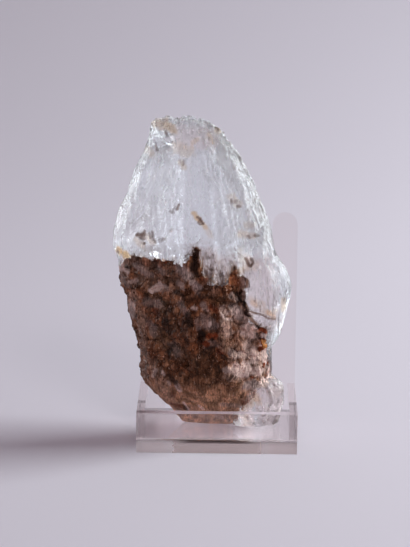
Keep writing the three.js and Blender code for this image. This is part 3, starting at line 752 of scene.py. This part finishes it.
# Fine etching, the same on clear and stained faces: upright hairlines and a frosty grain.
HAIRLINE_SIZE = (0.35, 0.35, 2.4)
FROST_SIZE, FROST_DETAIL, FROST_SHIFT, FROST_SHARE = (0.35, 0.35, 0.6), 3.0, 2.7, 0.5
etching = bpy.data.node_groups.new("fine_etching", "ShaderNodeTree")
etching.interface.new_socket("Height", in_out="OUTPUT", socket_type="NodeSocketFloat")
frost = product(etching, noise_of(etching, FROST_SIZE, FROST_DETAIL, FROST_SHIFT), FROST_SHARE)
add_node(etching, "NodeGroupOutput", {"Height": total(etching, noise_of(etching, HAIRLINE_SIZE), frost)})


def etched_normal(tree, depth):
    """A normal with the fine etching pressed in to a depth in mm."""
    group = add_node(tree, "ShaderNodeGroup", {}, node_tree=etching)
    bump = add_node(tree, "ShaderNodeBump", {
        "Height": group.outputs["Height"], "Strength": 1.0, "Distance": depth * MM,
    })
    return bump.outputs["Normal"]


# The clear faces: frosty, with a breath of blue, peppered with dark dots near the stain. The colours
# are what one pass through the skin leaves of white, so they're squared for the shader. How deep
# a point lies in the stain is in mm, and below 0 outside it.
ICE = (0.965, 0.988, 1.0, 1)
AMBER = (0.86, 0.60, 0.32, 1)
HAZE = (0.34, 0.20, 0.12, 1)
PINK = (0.98, 0.88, 0.87, 1)
SPECK = (0.15, 0.06, 0.03, 1)
CRACK_BROWN = (0.25, 0.12, 0.07, 1)
ORANGE_FILM = (0.85, 0.48, 0.22, 1)
WHITE = (1, 1, 1, 1)
STREAKS = {"size": (0.5, 0.5, 5), "shift": 5.5, "start": 0.38, "end": 0.62, "bottom": 0.45}
DOTS = {"size": (0.7, 0.7, 0.7), "shift": 7.1, "start": 0.62, "end": 0.68}
FROSTING = {"size": (2, 2, 6), "shift": 1.3, "start": 0.35, "end": 0.65, "bottom": 0.08, "top": 0.3}
HAZY_FRINGE = {"start": -1.8, "end": 0.3, "top": 0.6}
DOTTED_BAND = {"start": -6, "end": -1, "top": 0.6}
CLEAR_ETCHING_DEPTH = 0.15
TOPAZ_IOR = 1.62
CLEARNESS = 0.9
clear_topaz, clear_tree, clear_shader = new_material("clear_topaz")
depth_in_stain = kept(clear_tree, "stain_depth")
fringe = between(clear_tree, depth_in_stain, **HAZY_FRINGE)
hazy = total(clear_tree, kept(clear_tree, "brown_haze"), fringe)
dotted = between(clear_tree, depth_in_stain, **DOTTED_BAND)
clear_color = layered(clear_tree, ICE, [
    # Painted highlights along the glinting edges.
    (kept(clear_tree, "painted_glint"), WHITE),
    (kept(clear_tree, "pink_wash"), PINK),
    (product(clear_tree, hazy, patches(clear_tree, **STREAKS)), HAZE),
    (kept(clear_tree, "amber_film"), AMBER),
    (kept(clear_tree, "rusty"), ORANGE_FILM),
    (kept(clear_tree, "sooty"), CRACK_BROWN),
    (product(clear_tree, dotted, patches(clear_tree, **DOTS)), SPECK),
    (kept(clear_tree, "speck"), SPECK),
])
squared = add_node(clear_tree, "ShaderNodeVectorMath", {
    0: clear_color, 1: clear_color,
}, operation="MULTIPLY")
clear_tree.links.new(squared.outputs["Vector"], clear_shader.inputs["Base Color"])
clear_tree.links.new(patches(clear_tree, **FROSTING), clear_shader.inputs["Roughness"])
clear_tree.links.new(etched_normal(clear_tree, CLEAR_ETCHING_DEPTH), clear_shader.inputs["Normal"])
clear_shader.inputs["IOR"].default_value = TOPAZ_IOR
clear_shader.inputs["Transmission Weight"].default_value = CLEARNESS

# The stained skin: broken, glassy lumps under a film of iron oxides, thin and smoky in places. The
# film is mottled, gritty and fibrous, but calmer on the pale lumps. Along the left edge the smoky
# brown is also painted light, shining through the thin film.
DEEP_BROWN = (0.05, 0.015, 0.006, 1)
OLIVE_BROWN = (0.13, 0.075, 0.045, 1)
EARTH_BROWN = (0.29, 0.12, 0.06, 1)
RUST_BROWN = (0.20, 0.065, 0.028, 1)
FOOT_BROWN = (0.58, 0.31, 0.19, 1)
SMOKY_AND_SHINE_THROUGH_BROWN = (0.45, 0.27, 0.20, 1)
LAVENDER_GREY = (0.34, 0.245, 0.222, 1)
PALE_PINK = (0.71, 0.51, 0.45, 1)
BORDER_PINK = (0.88, 0.68, 0.62, 1)
RED_OXIDE = (0.20, 0.045, 0.018, 1)
ORANGE_OXIDE = (0.80, 0.36, 0.12, 1)
SOOT = (0.022, 0.010, 0.007, 1)
DARK_TO_LIGHT_LUMPS = {"start": -0.8, "end": 0.8}
GLASSY_LUMPS = {"start": 0.45, "end": 0.8, "top": 0.12}
RED_RUST = {"start": 0.0, "end": 0.5}
ORANGE_RUST = {"start": 0.75, "end": 1.0, "top": 0.8}
CALM_LUMPS = {"start": 0.2, "end": 1.0, "top": 0.7}
FEWER_AT_FOOT = {"start": 0.0, "end": 1.0, "bottom": 1.0, "top": 0.2}
FOOT_SHARE = 0.7
SEAM_SHARE = 0.55
WARMTH = {"size": (5, 5, 4.5), "detail": 3.0, "start": 0.4, "end": 0.6, "top": 0.7}
FLECKS = {"size": (0.7, 0.7, 1.5), "shift": 2.9, "start": 0.63, "end": 0.67, "top": 0.7}
PITS = {"size": (0.9, 0.9, 1.0), "shift": 6.6, "start": 0.62, "end": 0.66, "top": 0.85}
MOTTLE = {
    "size": (2.6, 2.6, 3), "detail": 5.0, "shift": 3.3,
    "start": 0.38, "end": 0.62, "bottom": 0.65, "top": 1.35,
}
GRIT = {
    "size": (0.35, 0.35, 1.2), "detail": 3.0, "shift": 4.1,
    "start": 0.3, "end": 0.7, "bottom": 0.8, "top": 1.2,
}
FIBRES = {"size": (0.4, 0.4, 6), "shift": 8.8, "start": 0.35, "end": 0.65, "bottom": 0.7, "top": 1.35}
WETNESS = {"size": (1.6, 1.6, 1.6), "shift": 9.9, "start": 0.4, "end": 0.6, "bottom": 0.25, "top": 0.5}
STAIN_ETCHING_DEPTH = 0.06
STAIN_SPECULAR = 0.06
iron_stain, stain_tree, stain_shader = new_material("iron_stained_topaz")
tone = kept(stain_tree, "lump_tone")
rust = kept(stain_tree, "rusty")
near_foot = kept(stain_tree, "foot")
pale = kept(stain_tree, "pale_glass")
fewer_at_foot = between(stain_tree, near_foot, **FEWER_AT_FOOT)
pits = product(stain_tree, patches(stain_tree, **PITS), fewer_at_foot)
stain_color = layered(stain_tree, DEEP_BROWN, [
    (between(stain_tree, tone, **DARK_TO_LIGHT_LUMPS), EARTH_BROWN),
    (patches(stain_tree, **WARMTH), RUST_BROWN),
    (kept(stain_tree, "olive"), OLIVE_BROWN),
    (product(stain_tree, near_foot, FOOT_SHARE), FOOT_BROWN),
    (between(stain_tree, tone, **GLASSY_LUMPS), LAVENDER_GREY),
    # Thin smoky stain; on the left edge also painted light shining through.
    (kept(stain_tree, "smoky_and_shine_through"), SMOKY_AND_SHINE_THROUGH_BROWN),
    (kept(stain_tree, "pale_border"), BORDER_PINK),
    (product(stain_tree, kept(stain_tree, "seam"), SEAM_SHARE), DEEP_BROWN),
    (patches(stain_tree, **FLECKS), SMOKY_AND_SHINE_THROUGH_BROWN),
    (pits, DEEP_BROWN),
    (kept(stain_tree, "grey_lump"), LAVENDER_GREY),
    (pale, PALE_PINK),
    (between(stain_tree, rust, **RED_RUST), RED_OXIDE),
    (between(stain_tree, rust, **ORANGE_RUST), ORANGE_OXIDE),
    (kept(stain_tree, "sooty"), SOOT),
])
uneven = product(
    stain_tree,
    patches(stain_tree, **MOTTLE),
    patches(stain_tree, **GRIT),
    patches(stain_tree, **FIBRES),
)
calm = between(stain_tree, pale, **CALM_LUMPS)
not_calm = total(stain_tree, product(stain_tree, calm, -1.0), 1.0)
uneven = total(stain_tree, product(stain_tree, uneven, not_calm), calm)
gritty = add_node(stain_tree, "ShaderNodeVectorMath", {0: stain_color, 1: uneven}, operation="MULTIPLY")
stain_tree.links.new(gritty.outputs["Vector"], stain_shader.inputs["Base Color"])
stain_tree.links.new(patches(stain_tree, **WETNESS), stain_shader.inputs["Roughness"])
stain_tree.links.new(etched_normal(stain_tree, STAIN_ETCHING_DEPTH), stain_shader.inputs["Normal"])
stain_shader.inputs["Specular IOR Level"].default_value = STAIN_SPECULAR

crystal.data.materials.append(clear_topaz)
crystal.data.materials.append(iron_stain)
corners = np.zeros(len(crystal.data.polygons) * 4, np.int32)
crystal.data.polygons.foreach_get("vertices", corners)
face_stain = stain_depth[corners.reshape(-1, 4)].mean(axis=1)
crystal.data.polygons.foreach_set("material_index", (face_stain > 0).astype(np.int32))
crystal.data.update()
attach(crystal, "root")
glow_shines_on.objects.link(crystal)
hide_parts("topaz_crystal")
